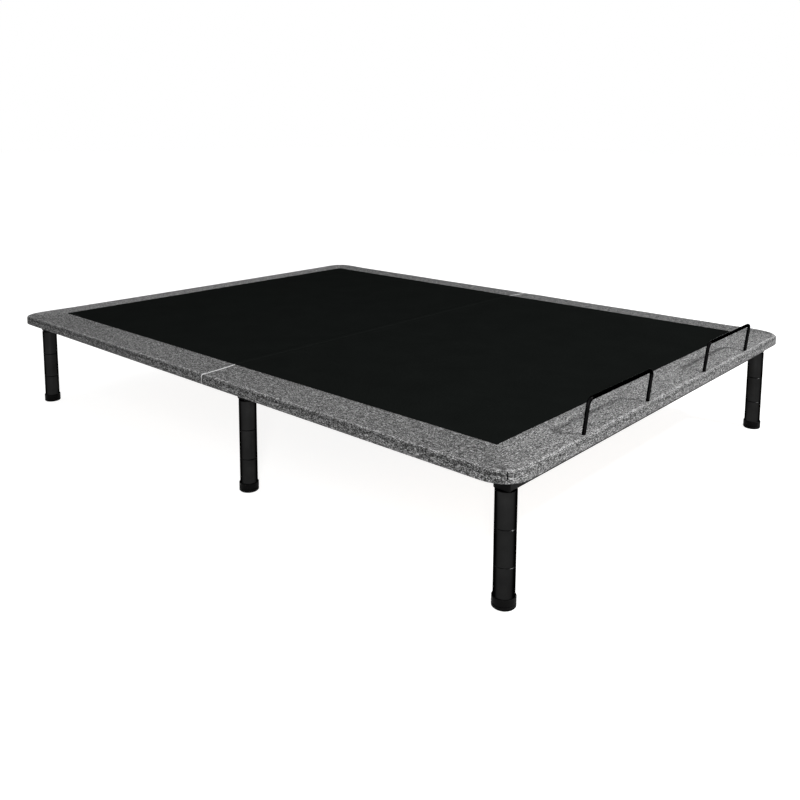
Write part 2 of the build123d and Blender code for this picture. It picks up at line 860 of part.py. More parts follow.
with BuildPart() as drive_nut:
    with BuildSketch(across_actuator(nut_start)):
        Circle(tube_bore - slide_clearance)
        Circle(screw_radius + slide_clearance, mode=Mode.SUBTRACT)
    extrude(amount=nut_length)
save(drive_nut, "drive_nut")

with BuildPart() as rod_eye:
    with BuildSketch(across_actuator(rod_end)):
        Circle(rod_radius)
    extrude(amount=rod_neck)
    with BuildSketch(across_actuator(rod_end)):
        Circle(rod_bore - running_clearance)
    extrude(amount=-spigot_length)
    with BuildSketch(actuator_plane):
        with Locations((closed_length, 0)):
            Circle(eye_radius)
    extrude(amount=eye_width / 2, both=True)
    with BuildSketch(actuator_plane):
        with Locations((closed_length, 0)):
            Circle(link_pin_radius + running_clearance)
    extrude(amount=eye_width, both=True, mode=Mode.SUBTRACT)
save(rod_eye, "rod_eye")

# Control box under the foot board, with its supply inlet facing the head end
control_x = motor_rail_x + control_setback
control_bottom = board_bottom - control_height
ear_y = (control_width + control_ear_length) / 2
ear_points = [(control_x, -ear_y), (control_x, ear_y)]
with BuildPart() as control_box:
    with BuildSketch(Plane.XY.offset(control_bottom)):
        with Locations((control_x, 0)):
            RectangleRounded(control_length, control_width, control_round)
    extrude(amount=control_height)
    fillet(control_box.faces().sort_by(Axis.Z)[0].edges(), control_round / 2)
    with BuildSketch(Plane.XY.offset(board_bottom - control_ear_thickness)):
        with Locations(*ear_points):
            Rectangle(control_ear_width, control_ear_length)
    extrude(amount=control_ear_thickness)
    drill(
        ear_points,
        control_screw_radius + fit_clearance,
        board_bottom - control_ear_thickness - cut_margin,
        control_ear_thickness + 2 * cut_margin,
    )
    with BuildSketch(Plane.XY.offset(board_bottom - control_seam_drop)):
        with Locations((control_x, 0)):
            RectangleRounded(control_length, control_width, control_round)
            RectangleRounded(
                control_length - 2 * control_seam,
                control_width - 2 * control_seam,
                control_round - control_seam,
                mode=Mode.SUBTRACT,
            )
    extrude(amount=control_seam, mode=Mode.SUBTRACT)
    inlet_plane = Plane(
        origin=(control_x - control_length / 2, 0, control_bottom + control_height / 2),
        x_dir=(0, 1, 0),
        z_dir=(1, 0, 0),
    )
    with BuildSketch(inlet_plane):
        SlotOverall(inlet_width, inlet_height)
    extrude(amount=inlet_depth, mode=Mode.SUBTRACT)
    with BuildSketch(inlet_plane.offset(inlet_depth)):
        with GridLocations(inlet_pin_pitch, 0, 2, 1):
            Circle(inlet_pin_radius)
    extrude(amount=-inlet_depth + control_seam)
save(control_box, "control_box")

with BuildPart() as control_screws:
    with BuildSketch(Plane.XY.offset(board_bottom - control_ear_thickness)):
        with Locations(*ear_points):
            Circle(control_screw_head)
    extrude(amount=-control_screw_radius, taper=control_screw_taper)
    with BuildSketch(Plane.XY.offset(board_bottom - control_ear_thickness)):
        with Locations(*ear_points):
            Circle(control_screw_radius)
    extrude(amount=control_ear_thickness)
save(control_screws, "control_screws")

# Mattress retainer bars and the sockets they drop into
for side_name, centre in retainer_centres.items():
    bar_plane = Plane(
        origin=(retainer_x, centre, deck_top),
        x_dir=(0, 1, 0),
        z_dir=(math.cos(lean), 0, -math.sin(lean)),
    )
    half = retainer_width / 2
    with BuildPart() as bar:
        with BuildLine(bar_plane) as bar_path:
            FilletPolyline(
                (-half, -leg_depth),
                (-half, retainer_height),
                (half, retainer_height),
                (half, -leg_depth),
                radius=retainer_bend,
            )
        with BuildSketch(Plane(origin=bar_path.line @ 0, z_dir=bar_path.line % 0)):
            Circle(retainer_radius)
        sweep()
    save(bar, f"{side_name}_retainer_bar")

with BuildPart() as retainer_sockets:
    leaning_rods(socket_radius, -leg_depth - socket_flange, 0, Mode.ADD)
    with BuildSketch(Plane.XY.offset(board_bottom - cover_cloth)):
        with Locations((retainer_x, 0)):
            Rectangle(4 * socket_flange_radius, deck_width)
    extrude(amount=board_thickness + cover_cloth, mode=Mode.INTERSECT)
    flange_x = retainer_x - panel_depth * math.tan(lean)
    with BuildSketch(Plane.XY.offset(board_bottom - cover_cloth)):
        with Locations(*[(flange_x, y) for y in retainer_legs]):
            Circle(socket_flange_radius)
    extrude(amount=-socket_flange)
    leaning_rods(
        retainer_radius + fit_clearance, -leg_depth - 2 * socket_flange, edge_roll, Mode.SUBTRACT
    )
save(retainer_sockets, "retainer_sockets")
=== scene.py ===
"""Adjustable bed base: upholstery, finishes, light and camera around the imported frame.

Metres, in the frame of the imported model: X from head to foot, Y to the left of a
person lying on the bed, Z up, origin on the floor under the deck's centre.
"""
import json
import math

import bmesh
import bpy
from mathutils import Matrix, Vector, noise


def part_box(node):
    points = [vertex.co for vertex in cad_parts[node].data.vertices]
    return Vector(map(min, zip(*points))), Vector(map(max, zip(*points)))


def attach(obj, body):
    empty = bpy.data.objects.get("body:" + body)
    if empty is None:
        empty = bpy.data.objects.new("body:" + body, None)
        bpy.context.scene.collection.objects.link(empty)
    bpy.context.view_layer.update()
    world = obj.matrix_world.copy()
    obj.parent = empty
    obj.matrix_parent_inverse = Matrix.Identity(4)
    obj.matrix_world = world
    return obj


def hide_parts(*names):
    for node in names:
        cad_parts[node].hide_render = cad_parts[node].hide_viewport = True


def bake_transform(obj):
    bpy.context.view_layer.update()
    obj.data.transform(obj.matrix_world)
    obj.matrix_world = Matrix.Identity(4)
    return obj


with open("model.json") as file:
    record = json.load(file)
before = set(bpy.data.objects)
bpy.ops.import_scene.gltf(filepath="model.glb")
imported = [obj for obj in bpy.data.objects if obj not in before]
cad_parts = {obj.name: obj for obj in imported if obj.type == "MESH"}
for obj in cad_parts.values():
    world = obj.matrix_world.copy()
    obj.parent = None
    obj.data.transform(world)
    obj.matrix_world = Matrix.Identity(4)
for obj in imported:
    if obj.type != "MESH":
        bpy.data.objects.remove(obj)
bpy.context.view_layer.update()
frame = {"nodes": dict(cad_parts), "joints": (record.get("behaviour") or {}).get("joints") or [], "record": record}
nodes = frame["nodes"]
joints = {joint["name"]: joint for joint in frame["joints"]}

# Places read from the frame
hinge_x, _, hinge_z = joints["head_tilt"]["pos_m"]
head_low, head_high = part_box("head_pad")
foot_low, foot_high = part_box("foot_pad")
_, field_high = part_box("head_field")
half_width = head_high.y
deck_top = head_high.z
field_top = field_high.z
underside = head_low.z

# Upholstery sizes, with angles in degrees
edge_round = 0.0075
round_step = 10
ridge_angle = 70
mitre_angle = 45
fold_angle = 55
under_roll = 0.002
turn_under = 0.038
under_middle = 0.020
under_near = 0.006
head_corner = 0.048
foot_corner = 0.070
least_corner = 0.002
crown_end = 0.030
rim_hollow = 0.0009
rim_hollow_inset = 0.021
rim_hollow_reach = 0.008
field_slope = 1.7
field_inset = half_width - field_high.y
tuck_inset = field_inset + 0.003
tuck_drop = 0.0016
cover_thickness = 0.0009
field_thickness = 0.0008
seam_depth = 0.0011
seam_width = 0.0013
seam_margin = 0.010
ripple_height = 0.0007
ripple_scale = 7.0
ripple_fade = 0.080
ripple_foot = 0.012
column_step = 0.016
end_offset = 3.0
bar_radius = 0.0045
dimple_depth = 0.0022
dimple_reach = 0.009
dimple_end = 4 * dimple_reach
tolerance = 1e-6
field_weld = 1e-5

# Swelling of the covers over their foam
swell_pressure = 3.0
swell_steps = 20
swell_limit = 0.0012
swell_quality = 6
cloth_mass = 0.3
cloth_stiffness = 30.0
cloth_bending = 1.5
hold_margin = 0.001
mitre_hold = 0.0006
bar_hold = 0.010

# The soft strip that crosses the split
bridge_half = 0.024
bridge_reach = bridge_half - (foot_low.x - hinge_x)
tongue_drop = 0.0016
tongue_nose = hinge_z - 0.0005
tongue_stops = [0.0, 0.006, 0.012, 0.018, bridge_reach - 0.0005]
nose_step = 0.006
nose_bend = 0.0006
bridge_steps = 16
bridge_lift = 0.0001
crease_depth = 0.0020
crease_width = 0.0018
crease_stops = [0.0007, 0.0014, 0.0022]
field_crease_depth = 0.0007
welt_radius = 0.0016
welt_sink = 0.7 * welt_radius
welt_step = 0.003
welt_gap = 0.001

# Corner stitches, with the bend and the height as shares of their length and radius, and staples
stitch_length = 0.0030
stitch_pitch = 0.0052
stitch_start = 0.0096
stitch_radius = 0.0016
stitch_bend = 0.2
stitch_proud = 0.5
stitches_per_seam = 3
staple_width = 0.010
staple_wire = 0.0006
staple_pitch = 0.055
staple_inset = 0.028
staple_split_gap = 0.070
staple_corner_gap = 0.030
staple_crown = 0.7 * staple_wire
staple_leg = 1.5 * staple_wire

# Grey cloth: length, width and share of each kind of yarn float
yarn_floats = [(0.0021, 0.0013, 0.46), (0.0065, 0.0014, 0.32), (0.0014, 0.0042, 0.22)]

# Floor and light: the world's strength, then place, width, height and watts of each softbox
floor_reach = 30.0
floor_shade = 0.42
floor_glow = 0.88
floor_bounce = 0.72
world_light = 0.30
lamp_target = (0.0, 0.0, 0.3)
lamps = {
    "key": ((3.6, 1.3, 3.5), 0.4, 0.4, 190.0),
    "top": ((-0.5, -0.5, 4.0), 3.0, 3.0, 30.0),
    "front": ((2.4, -2.75, 1.5), 0.35, 2.6, 60.0),
}

# Camera, fitted to the edges of the deck in the photograph: degrees, metres and millimetres
camera_place = (1.849, -2.009, 0.945)
camera_heading = 131.81
camera_pitch = -7.51
camera_roll = 0.26
camera_sensor = 36.0
camera_lens = 37.915
camera_shift = -0.2


def clamp(value, low, high):
    """Value held between two limits."""
    return min(max(value, low), high)


def smooth_step(value):
    """Soft step from 0 to 1."""
    t = clamp(value, 0.0, 1.0)
    return t * t * (3 - 2 * t)


def spread(low, high, step):
    """Evenly spaced values from low to high, about a step apart."""
    count = max(1, round((high - low) / step))
    return [low + (high - low) * i / count for i in range(count + 1)]


# Node helpers
def add(tree, kind, inputs=None, **settings):
    """Add a node, set its properties and fill or link its inputs."""
    node = tree.nodes.new(kind)
    for key, value in settings.items():
        setattr(node, key, value)
    for key, value in (inputs or {}).items():
        if isinstance(value, bpy.types.NodeSocket):
            tree.links.new(value, node.inputs[key])
        else:
            node.inputs[key].default_value = value
    return node


def math_node(tree, operation, first, second=0.0):
    """One arithmetic step on two values."""
    return add(tree, "ShaderNodeMath", {0: first, 1: second}, operation=operation).outputs[0]


def weighted(tree, terms):
    """Sum of values, each times its weight."""
    total = 0.0
    for value, weight in terms:
        inputs = {0: value, 1: weight, 2: total}
        total = add(tree, "ShaderNodeMath", inputs, operation="MULTIPLY_ADD").outputs[0]
    return total


def scaled(tree, vector, scale):
    """Coordinates stretched by a scale for each axis."""
    return add(tree, "ShaderNodeMapping", {"Vector": vector, "Scale": scale}).outputs[0]


def noise_value(tree, vector, scale=1.0, detail=2.0, roughness=0.5):
    """Noise between 0 and 1."""
    inputs = {"Vector": vector, "Scale": scale, "Detail": detail, "Roughness": roughness}
    return add(tree, "ShaderNodeTexNoise", inputs).outputs[0]


def grey(level):
    """Neutral colour."""
    return (level, level, level, 1.0)


def ramp(tree, factor, stops):
    """Colour ramp through (position, colour) stops."""
    node = add(tree, "ShaderNodeValToRGB", {"Fac": factor})
    elements = node.color_ramp.elements
    while len(elements) < len(stops):
        elements.new(1.0)
    for element, (position, colour) in zip(elements, stops):
        element.position = position
        element.color = colour
    return node.outputs["Color"]


def object_coordinates(tree):
    """Coordinates in metres that move with the piece."""
    return add(tree, "ShaderNodeTexCoord").outputs["Object"]


def cloth_coordinates(tree):
    """Coordinates in metres along the cloth's own threads."""
    return add(tree, "ShaderNodeUVMap", uv_map="cloth").outputs["UV"]


def new_material(name, **sockets):
    """Material with one principled shader, its constant sockets set."""
    material = bpy.data.materials.new(name)
    material.use_nodes = True
    tree = material.node_tree
    shader = tree.nodes["Principled BSDF"]
    for key, value in sockets.items():
        shader.inputs[key.replace("_", " ")].default_value = value
    return material, tree, shader


def finish_surface(tree, shader, colour, roughness, height, depth, strength):
    """Link a colour, a bump height and, where there is one, a roughness to a shader."""
    tree.links.new(colour, shader.inputs["Base Color"])
    if roughness is not None:
        tree.links.new(roughness, shader.inputs["Roughness"])
    bump = add(tree, "ShaderNodeBump", {"Height": height, "Distance": depth, "Strength": strength})
    tree.links.new(bump.outputs[0], shader.inputs["Normal"])


def between(tree, value, low, high):
    """Value from 0 to 1 moved into a range."""
    inputs = {"Value": value, "To Min": low, "To Max": high}
    return add(tree, "ShaderNodeMapRange", inputs).outputs[0]


def weave_height(tree, cloth, pitch):
    """Plain weave: threads that pass over and under each other."""
    turns = scaled(tree, cloth, (math.pi / pitch, math.pi / pitch, 1.0))
    parts = add(tree, "ShaderNodeSeparateXYZ", {0: turns})
    across = math_node(tree, "SINE", parts.outputs[0])
    along = math_node(tree, "SINE", parts.outputs[1])
    return math_node(tree, "MULTIPLY", across, along)


# Materials
def yarn_shade(tree, cloth, length, width):
    """Random shade for each float of yarn of a given length and width."""
    floats = scaled(tree, cloth, (1.0 / length, 1.0 / width, 1.0))
    cells = add(tree, "ShaderNodeVectorMath", {0: floats}, operation="FLOOR").outputs[0]
    return add(tree, "ShaderNodeTexWhiteNoise", {"Vector": cells}, noise_dimensions="2D").outputs["Value"]


def stripe(tree, value, centre, reach):
    """1 on a line and 0 further from it than a reach, with soft sides."""
    away = math_node(tree, "ABSOLUTE", math_node(tree, "SUBTRACT", value, centre))
    inputs = {"Value": away, "From Max": reach, "To Min": 1.0, "To Max": 0.0}
    return add(tree, "ShaderNodeMapRange", inputs, interpolation_type="SMOOTHSTEP").outputs[0]


def heather_cloth():
    """Grey melange upholstery: yarns of mixed shade, with a painted highlight on the ridge of the edge and a
    painted shade line on the band just below it.

    U runs along the edge of the panel, 3 m further on for the end pieces, and V across it from the ridge.
    """
    material, tree, shader = new_material(
        "heather_cloth", Roughness=0.95, Specular_IOR_Level=0.02, Sheen_Weight=0.03, Sheen_Roughness=0.6
    )
    cloth = cloth_coordinates(tree)
    parts = add(tree, "ShaderNodeSeparateXYZ", {0: cloth})
    along, across = parts.outputs[0], parts.outputs[1]
    wobbled = {"Vector": cloth, "Scale": 210.0, "Detail": 2.0}
    wobble = add(tree, "ShaderNodeTexNoise", wobbled).outputs["Color"]
    centred = {0: wobble, 1: (0.5, 0.5, 0.5)}
    drift = add(tree, "ShaderNodeVectorMath", centred, operation="SUBTRACT").outputs[0]
    shifted = {0: drift, 1: (0.0035, 0.0022, 0.0), 2: cloth}
    yarns = add(tree, "ShaderNodeVectorMath", shifted, operation="MULTIPLY_ADD").outputs[0]
    floats = [(yarn_shade(tree, yarns, length, width), share) for length, width, share in yarn_floats]
    melange = weighted(tree, floats)
    mottle = noise_value(tree, cloth, scale=55.0, detail=3.0)
    weave = weave_height(tree, cloth, 0.0013)
    end_piece = math_node(tree, "GREATER_THAN", along, end_offset / 2)
    # Painted highlight: a lighter stripe along the ridge of the rolled edge, where light catches it.
    painted_ridge_highlight = stripe(tree, across, 0.001, 0.0045)
    # Painted shade: a darker stripe on the band just under the rolled edge.
    painted_fold_shading = stripe(tree, across, -0.009, 0.006)
    terms = [
        (melange, 1.0), (mottle, 0.06), (weave, 0.03),
        (end_piece, 0.075), (painted_ridge_highlight, 0.12), (painted_fold_shading, -0.09),
    ]
    shades = [(0.24, 0.017), (0.48, 0.060), (0.61, 0.134), (0.76, 0.268), (1.0, 0.55)]
    colour = ramp(tree, weighted(tree, terms), [(position, grey(shade)) for position, shade in shades])
    height = weighted(tree, [(weave, 0.35), (melange, 1.0)])
    finish_surface(tree, shader, colour, None, height, depth=0.0008, strength=0.5)
    return material


def field_cloth_material():
    """Black woven anti-slip cloth with a fine cross rib, and a painted highlight along the fold of the split."""
    material, tree, shader = new_material("anti_slip_cloth", Roughness=0.9, Specular_IOR_Level=0.0)
    cloth = cloth_coordinates(tree)
    weave = weave_height(tree, cloth, 0.0021)
    fibres = noise_value(tree, cloth, scale=420.0, detail=2.0)
    patches = noise_value(tree, cloth, scale=9.0, detail=3.0)
    along = add(tree, "ShaderNodeSeparateXYZ", {0: cloth}).outputs[0]
    # Painted highlight: a lighter stripe along the crease at the split.
    painted_fold_shading = stripe(tree, along, 0.0, 0.006)
    level = weighted(tree, [(fibres, 0.6), (weave, 0.09), (patches, 0.21), (painted_fold_shading, 0.2)])
    colour = ramp(
        tree,
        level,
        [(0.2, (0.0042, 0.0048, 0.0045, 1)), (0.45, (0.0067, 0.0077, 0.0072, 1)),
         (0.75, (0.0106, 0.0119, 0.0112, 1))],
    )
    height = math_node(tree, "ADD", weave, fibres)
    finish_surface(tree, shader, colour, None, height, depth=0.0007, strength=0.6)
    return material


def thread_material(name, colour):
    """Twisted sewing thread or welt cord."""
    material, tree, shader = new_material(name, Roughness=0.8, Specular_IOR_Level=0.05)
    place = object_coordinates(tree)
    twist = noise_value(tree, scaled(tree, place, (900.0, 900.0, 900.0)), detail=1.0)
    shade = ramp(
        tree,
        twist,
        [(0.3, tuple(c * 0.7 for c in colour) + (1.0,)), (0.7, tuple(colour) + (1.0,))],
    )
    finish_surface(tree, shader, shade, None, twist, depth=0.0003, strength=0.5)
    return material


def sprayed_coat(tree, shader, level, worn, rough, peel, depth, strength):
    """Black coat with orange peel and faint rubbed patches, worn lighter there."""
    place = object_coordinates(tree)
    grain = noise_value(tree, place, scale=peel, detail=2.0)
    rubbed = noise_value(tree, place, scale=14.0, detail=4.0, roughness=0.6)
    colour = ramp(
        tree,
        rubbed,
        [(0.30, grey(level * 0.75)), (0.55, grey(level)), (0.78, grey(level * worn))],
    )
    roughness = between(tree, rubbed, rough[0], rough[1])
    finish_surface(tree, shader, colour, roughness, grain, depth, strength)


def powder_coat():
    """Satin black powder coat."""
    material, tree, shader = new_material("powder_coat", Specular_IOR_Level=0.04)
    rough = (0.36, 0.52)
    sprayed_coat(tree, shader, 0.0040, worn=1.7, rough=rough, peel=900.0, depth=0.00025, strength=0.35)
    return material


def black_lacquer(name, level, rough):
    """Smooth black stoved lacquer: a soft reflection that stays dark at grazing angles."""
    material, tree, shader = new_material(name, Metallic=1.0, Specular_Tint=(0.05, 0.05, 0.05, 1.0))
    sprayed_coat(tree, shader, level, worn=1.4, rough=rough, peel=700.0, depth=0.0001, strength=0.2)
    return material


def zinc_plate():
    """Bright zinc plate: fine crystals, light scuffs."""
    material, tree, shader = new_material("zinc_plate", Metallic=1.0)
    place = object_coordinates(tree)
    crystals = add(tree, "ShaderNodeTexVoronoi", {"Vector": place, "Scale": 260.0}).outputs["Color"]
    shade = add(tree, "ShaderNodeSeparateColor", {0: crystals}).outputs[0]
    scuffs = noise_value(tree, scaled(tree, place, (900.0, 40.0, 300.0)), detail=2.0)
    colour = ramp(
        tree,
        shade,
        [(0.0, (0.52, 0.53, 0.55, 1)), (0.5, (0.62, 0.63, 0.64, 1)), (1.0, (0.70, 0.70, 0.71, 1))],
    )
    roughness = between(tree, scuffs, 0.24, 0.46)
    finish_surface(tree, shader, colour, roughness, scuffs, depth=0.0001, strength=0.25)
    return material


def moulded_plastic(name, level, specular):
    """Spark-eroded moulding texture."""
    material, tree, shader = new_material(name, Specular_IOR_Level=specular)
    place = object_coordinates(tree)
    grain = noise_value(tree, place, scale=1400.0, detail=2.0)
    flow = noise_value(tree, place, scale=30.0, detail=3.0)
    colour = ramp(tree, flow, [(0.3, grey(level * 0.85)), (0.7, grey(level * 1.2))])
    roughness = between(tree, flow, 0.42, 0.6)
    finish_surface(tree, shader, colour, roughness, grain, depth=0.0002, strength=0.4)
    return material


def bumper_rubber():
    """Matt rubber with a dusty bloom."""
    material, tree, shader = new_material("bumper_rubber", Specular_IOR_Level=0.2)
    place = object_coordinates(tree)
    bloom = noise_value(tree, place, scale=120.0, detail=4.0)
    colour = ramp(tree, bloom, [(0.35, grey(0.014)), (0.75, grey(0.034))])
    roughness = between(tree, bloom, 0.7, 0.92)
    finish_surface(tree, shader, colour, roughness, bloom, depth=0.0003, strength=0.4)
    return material


def plywood():
    """Birch plywood: long grain on the faces, stacked plies on the edges."""
    material, tree, shader = new_material("plywood", Specular_IOR_Level=0.25)
    place = object_coordinates(tree)
    drift = noise_value(tree, scaled(tree, place, (0.5, 4.0, 4.0)), detail=2.0)
    rings = math_node(tree, "SINE", math_node(tree, "MULTIPLY", drift, 75.0))
    streaks = noise_value(tree, scaled(tree, place, (1.6, 130.0, 130.0)), detail=3.0)
    pores = noise_value(tree, scaled(tree, place, (14.0, 700.0, 700.0)), detail=2.0)
    grain = weighted(tree, [(rings, 0.07), (streaks, 0.6), (pores, 0.4)])
    face = ramp(
        tree,
        grain,
        [(0.22, (0.30, 0.19, 0.10, 1)), (0.50, (0.47, 0.33, 0.19, 1)), (0.78, (0.60, 0.45, 0.28, 1))],
    )
    height = add(tree, "ShaderNodeSeparateXYZ", {0: place}).outputs[2]
    plies = math_node(tree, "SINE", math_node(tree, "MULTIPLY", height, 2 * math.pi / 0.0043))
    edge = ramp(
        tree,
        between(tree, plies, 0.0, 1.0),
        [(0.35, (0.24, 0.14, 0.07, 1)), (0.6, (0.52, 0.38, 0.22, 1))],
    )
    normal = add(tree, "ShaderNodeNewGeometry").outputs["True Normal"]
    local = add(tree, "ShaderNodeVectorTransform", {0: normal}, convert_to="OBJECT", vector_type="NORMAL")
    facing = math_node(tree, "ABSOLUTE", add(tree, "ShaderNodeSeparateXYZ", {0: local.outputs[0]}).outputs[2])
    mixed = add(tree, "ShaderNodeMix", {"Factor": facing, 6: edge, 7: face}, data_type="RGBA")
    roughness = between(tree, pores, 0.55, 0.8)
    finish_surface(tree, shader, mixed.outputs[2], roughness, pores, depth=0.0003, strength=0.35)
    return material


def rod_chrome():
    """Ground and plated rod, with fine lines along its length."""
    material, tree, shader = new_material("rod_chrome", Metallic=1.0)
    place = object_coordinates(tree)
    lines = noise_value(tree, scaled(tree, place, (20.0, 2600.0, 2600.0)), detail=2.0)
    haze = noise_value(tree, place, scale=40.0, detail=3.0)
    colour = ramp(tree, haze, [(0.3, (0.66, 0.66, 0.67, 1)), (0.7, (0.76, 0.76, 0.77, 1))])
    roughness = between(tree, lines, 0.08, 0.22)
    finish_surface(tree, shader, colour, roughness, lines, depth=0.00005, strength=0.2)
    return material


heather = heather_cloth()
anti_slip = field_cloth_material()
dark_thread = thread_material("dark_thread", (0.004, 0.004, 0.0043))
# Pale cord colour: painted light, standing in for the bright line where white shows through the split between the
# panels.
painted_gap_light_cord = thread_material("painted_gap_light_cord", (0.72, 0.72, 0.73))
staple_steel = zinc_plate()
finishes = {
    "powder_coat": powder_coat(),
    "leg_paint": black_lacquer("leg_paint", 0.014, (0.24, 0.34)),
    "zinc_steel": staple_steel,
    "black_plastic": moulded_plastic("black_plastic", 0.0030, 0.03),
    "grey_plastic": moulded_plastic("grey_plastic", 0.075, 0.35),
    "bumper_rubber": bumper_rubber(),
    "board_wood": plywood(),
    "rod_chrome": rod_chrome(),
    "border_cloth": heather,
    "field_cloth": anti_slip,
}
bar_gloss = black_lacquer("bar_gloss", 0.0055, (0.14, 0.20))
for subpart in frame["record"]["subparts"]:
    node = subpart["node"]
    finish = bar_gloss if node.endswith("retainer_bar") else finishes[subpart["material_slot"]]
    mesh = nodes[node].data
    for index in range(len(mesh.materials)):
        mesh.materials[index] = finish


# Mesh helpers
def new_piece(name, mesh, material, body):
    """Put a mesh in the scene, riding on a body."""
    mesh.materials.append(material)
    piece = bpy.data.objects.new(name, mesh)
    bpy.context.collection.objects.link(piece)
    if body:
        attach(piece, body)
    return piece


def mesh_from(name, bm):
    """Finished mesh from a bmesh, smooth apart from its sharp folds."""
    mesh = bpy.data.meshes.new(name)
    bm.to_mesh(mesh)
    bm.free()
    for polygon in mesh.polygons:
        polygon.use_smooth = True
    mesh.set_sharp_from_angle(angle=math.radians(fold_angle))
    return mesh


def grid_faces(bm, uv, rows, uvs):
    """Join rows of points by quads, with cloth coordinates at each corner."""
    verts = [[bm.verts.new(point) for point in row] for row in rows]
    for i in range(len(rows) - 1):
        for j in range(len(rows[0]) - 1):
            corners = ((i, j), (i, j + 1), (i + 1, j + 1), (i + 1, j))
            face = bm.faces.new([verts[row][column] for row, column in corners])
            for loop, (row, column) in zip(face.loops, corners):
                loop[uv].uv = uvs(row, column, j)


def thicken(piece, thickness):
    """Give a cloth its thickness, inwards."""
    solid = piece.modifiers.new("cloth_thickness", "SOLIDIFY")
    solid.thickness = thickness
    solid.offset = -1.0
    solid.use_even_offset = False


def tube_mesh(bm, points, radius, sides=8):
    """Round cord or wire through points, with closed ends."""
    rings = []
    for i, point in enumerate(points):
        ahead = points[min(i + 1, len(points) - 1)]
        behind = points[max(i - 1, 0)]
        along = (ahead - behind).normalized()
        across = along.orthogonal().normalized()
        if rings:
            across = (rings[-1][1] - along * rings[-1][1].dot(along)).normalized()
        other = along.cross(across)
        turn = 2 * math.pi / sides
        ring = [
            bm.verts.new(point + radius * (across * math.cos(k * turn) + other * math.sin(k * turn)))
            for k in range(sides)
        ]
        rings.append((ring, across))
    for (first, _), (second, _) in zip(rings, rings[1:]):
        for k in range(sides):
            n = (k + 1) % sides
            bm.faces.new((first[k], first[n], second[n], second[k]))
    bm.faces.new(list(reversed(rings[0][0])))
    bm.faces.new(rings[-1][0])


# Section of the border: outer edge roll, flat crown and long slope to the field
def border_height(inset):
    """Height of the border's surface at an inset from the outer edge."""
    slope = clamp((inset - crown_end) / (field_inset - crown_end), 0.0, 1.0)
    hollow = rim_hollow * math.exp(-(((inset - rim_hollow_inset) / rim_hollow_reach) ** 2))
    return deck_top + (field_top - deck_top) * slope**field_slope - hollow


def quarter_round(radius, degrees):
    """Inset and rise of a point on a quarter round that starts upright."""
    angle = math.radians(degrees)
    return radius * (1 - math.cos(angle)), radius * math.sin(angle)


roll_section = [(0.0, hinge_z)]
for degrees in range(0, 91, round_step):
    inset, rise = quarter_round(edge_round, degrees)
    roll_section.append((inset, deck_top - edge_round + rise))
crown_insets = [
    0.010, 0.013, 0.017, 0.021, 0.026, 0.032, 0.040, 0.050, 0.060, 0.070, 0.080, 0.089, 0.097, 0.104,
    field_inset,
]
top_section = roll_section + [(inset, border_height(inset)) for inset in crown_insets]
band_foot = underside + under_roll
band_section = [(0.0, band_foot + (hinge_z - band_foot) * share) for share in (0.0, 0.35, 0.7)]
under_section = [(inset, underside) for inset in (turn_under, under_middle, under_near)]
for degrees in (90, 60, 30):
    inset, rise = quarter_round(under_roll, degrees)
    under_section.append((inset, band_foot - rise))
cover_section = under_section + band_section + top_section + [(tuck_inset, field_top - tuck_drop)]


def arc_lengths(section):
    """Distance along a section from its first point."""
    lengths = [0.0]
    for (d0, z0), (d1, z1) in zip(section, section[1:]):
        lengths.append(lengths[-1] + math.hypot(d1 - d0, z1 - z0))
    return lengths


ridge = cover_section.index(roll_section[1 + ridge_angle // round_step])
section_lengths = arc_lengths(cover_section)
cloth_lengths = [length - section_lengths[ridge] for length in section_lengths]
corner_angles = [0, 12, 24, 36, 42, 44, 45, 46, 48, 54, 66, 78, 90]


class Panel:
    """Plan of one upholstered panel, measured from its split edge towards the bed's end."""

    def __init__(self, name, split_x, end_x, corner):
        self.name = name
        self.split_x = split_x
        self.outward = 1.0 if end_x > split_x else -1.0
        self.length = abs(end_x - split_x)
        self.corner = corner
        self.side_stops = tongue_stops + spread(bridge_reach, self.length - corner, column_step)
        wide = half_width - corner
        self.field_stops = [round(y, 6) for y in spread(-wide, wide, column_step)]
        side = [("side", stop) for stop in self.side_stops]
        turn = [("turn", math.radians(a)) for a in corner_angles]
        end = [("end", y) for y in self.field_stops]
        other = [("other_turn", math.radians(a)) for a in corner_angles]
        back = [("other_side", stop) for stop in reversed(self.side_stops)]
        self.columns = side[:-1] + turn + end[1:-1] + other + back[1:]

    def world(self, along, y, z):
        """Point from distance along the panel, Y and height."""
        return Vector((self.split_x + self.outward * along, y, z))

    def plan(self, column, inset):
        """Distance along the panel and Y of a column, drawn in by an inset."""
        kind, at = column
        radius = max(self.corner - inset, least_corner)
        far = self.length - inset - radius
        wide = half_width - inset - radius
        if kind == "side":
            return min(at, far), -half_width + inset
        if kind == "other_side":
            return min(at, far), half_width - inset
        if kind == "end":
            return self.length - inset, clamp(at, -wide, wide)
        if kind == "turn":
            return far + radius * math.sin(at), -wide - radius * math.cos(at)
        return far + radius * math.cos(at), wide + radius * math.sin(at)


def under_strip(along, z):
    """True for a point of a panel's top that passes under the soft strip at the split."""
    return along < bridge_reach - tolerance and z > hinge_z


def lowered(along, z):
    """Height of such a point: a step down, then a slope to the panel's nose."""
    share = 1 - along / bridge_reach
    return max(z - tongue_drop - (z - tongue_drop - tongue_nose) * share, tongue_nose)


def tongue(along, inset, z):
    """Section point of a cover, drawn in and lowered under the strip."""
    if not under_strip(along, z):
        return inset, z
    return max(inset, tongue_drop), lowered(along, z)


